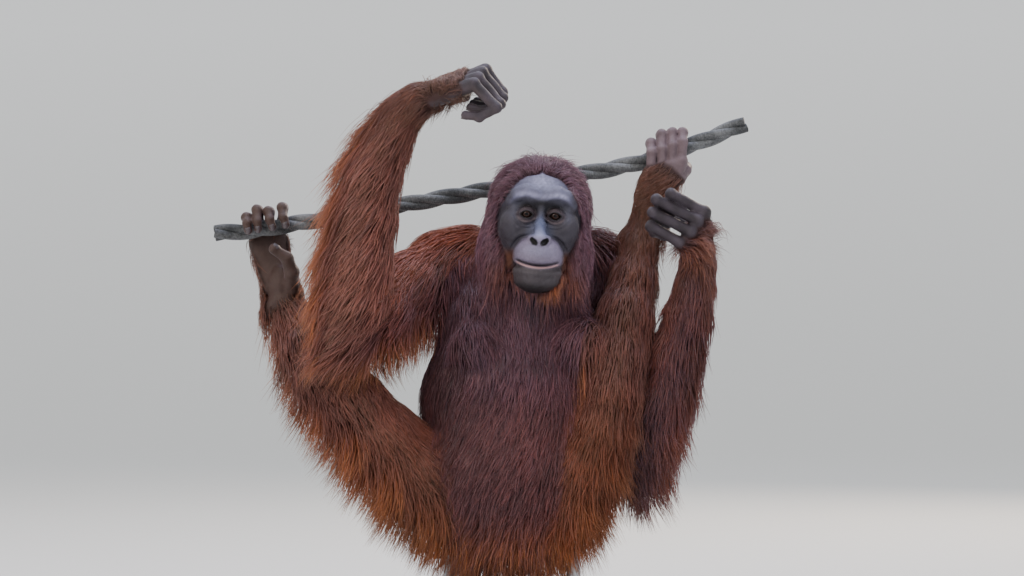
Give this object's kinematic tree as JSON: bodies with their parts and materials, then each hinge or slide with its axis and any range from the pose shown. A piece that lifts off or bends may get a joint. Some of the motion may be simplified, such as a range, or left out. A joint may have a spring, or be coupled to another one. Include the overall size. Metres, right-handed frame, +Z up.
{
  "type": "life-size still model of an adult female Bornean orangutan",
  "caption": "Adult female Bornean orangutan hanging by both feet from a short rope, one arm raised, on a plain display stand.",
  "frame": {"origin": "centre of the underside of the stand's base", "axes": "+Z up, -Y out of the face towards the viewer, +X to the viewer's right, which is the animal's left"},
  "size_m": [0.918, 0.42, 0.9717],
  "materials": {
    "dark_coat": "long glossy hair",
    "maroon_coat": "long glossy hair",
    "red_coat": "long hair with orange tips",
    "bare_skin": "satin creased skin",
    "foot_skin": "matte creased skin",
    "eye": "wet gloss",
    "rope": "worn laid rope",
    "stand_plate": "matte black powder coat",
    "steel": "brushed"
  },
  "bodies": {
    "root": {"stand_base": "stand_plate", "stand_rod_right": "steel", "stand_rod_left": "steel", "perch_rope": "rope", "eye_right": "eye", "eye_left": "eye", "finger_right_little": "bare_skin", "finger_right_ring": "bare_skin", "finger_right_middle": "bare_skin", "finger_right_index": "bare_skin", "finger_left_index": "bare_skin", "finger_left_middle": "bare_skin", "finger_left_ring": "bare_skin", "finger_left_little": "bare_skin", "thumb_right": "bare_skin", "thumb_left": "bare_skin", "toe_right_fifth": "foot_skin", "toe_right_fourth": "foot_skin", "toe_right_third": "foot_skin", "toe_right_second": "foot_skin", "toe_left_fifth": "foot_skin", "toe_left_fourth": "foot_skin", "toe_left_third": "foot_skin", "toe_left_second": "foot_skin", "toe_right_big": "foot_skin", "toe_left_big": "foot_skin", "hand_right": "bare_skin", "hand_left": "bare_skin", "foot_right": "foot_skin", "foot_left": "foot_skin", "forearm_right": "red_coat", "forearm_left": "dark_coat", "shank_right": "red_coat", "shank_left": "red_coat", "trunk": "maroon_coat", "ear_right": "bare_skin", "ear_left": "bare_skin", "head": "maroon_coat", "muzzle": "bare_skin", "lower_jaw": "bare_skin", "neck": "maroon_coat", "thigh_right": "red_coat", "thigh_left": "red_coat", "upper_arm_right": "maroon_coat", "upper_arm_left": "dark_coat"}
  },
  "joints": []
}
